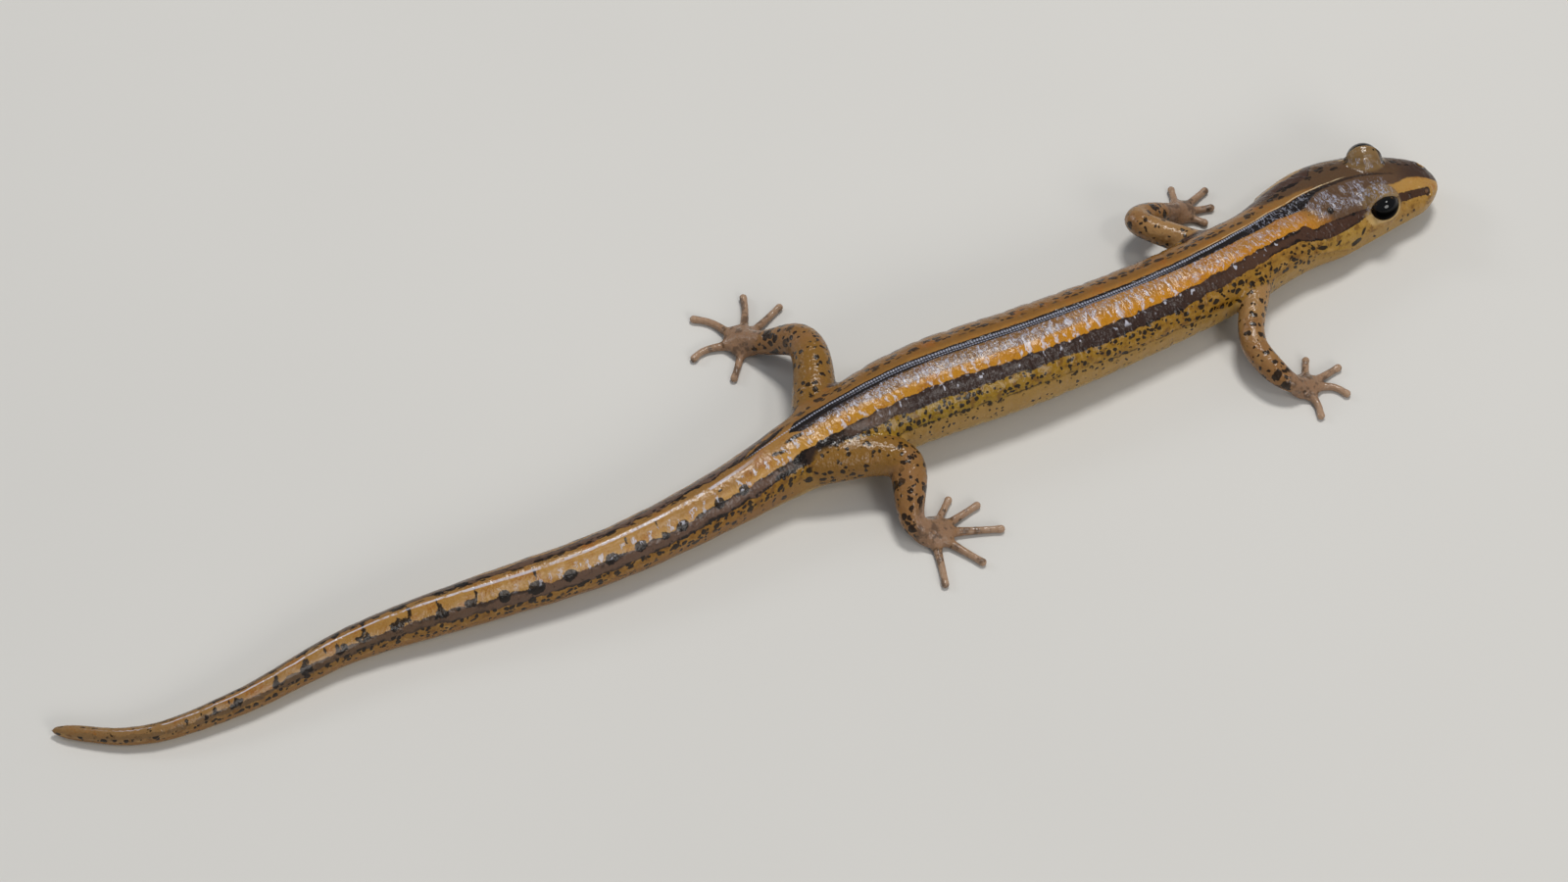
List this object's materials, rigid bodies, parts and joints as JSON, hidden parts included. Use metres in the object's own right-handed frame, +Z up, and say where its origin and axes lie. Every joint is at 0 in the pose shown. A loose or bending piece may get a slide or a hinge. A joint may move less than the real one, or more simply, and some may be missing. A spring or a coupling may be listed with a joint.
{
  "type": "southern two-lined salamander",
  "caption": "Life-size still model of a southern two-lined salamander, lying with its head raised and its long tail in a loose curve.",
  "frame": {"origin": "floor level, under the middle of the box round the whole animal", "axes": "+X towards the snout, +Y to the animal's left, +Z up from the floor it lies on"},
  "size_m": [0.0917, 0.0251, 0.0052],
  "materials": {
    "back_skin": "wet, glossy, fine-grained",
    "head_skin": "wet, glossy, fine-grained",
    "tail_skin": "wet, glossy, fine-grained",
    "limb_skin": "wet, glossy",
    "foot_skin": "wet, translucent grey",
    "eye": "wet, polished"
  },
  "bodies": {
    "root": {"head": "head_skin", "eye_left": "eye", "eye_right": "eye", "neck": "back_skin", "torso_front": "back_skin", "torso_middle": "back_skin", "torso_rear": "back_skin", "tail_base": "tail_skin", "tail_middle": "tail_skin", "tail_tip": "tail_skin", "upper_arm_front_right": "limb_skin", "forearm_front_right": "limb_skin", "hand_front_right": "foot_skin", "upper_arm_front_left": "limb_skin", "forearm_front_left": "limb_skin", "hand_front_left": "foot_skin", "thigh_hind_right": "limb_skin", "shank_hind_right": "limb_skin", "foot_hind_right": "foot_skin", "thigh_hind_left": "limb_skin", "shank_hind_left": "limb_skin", "foot_hind_left": "foot_skin"}
  },
  "joints": []
}
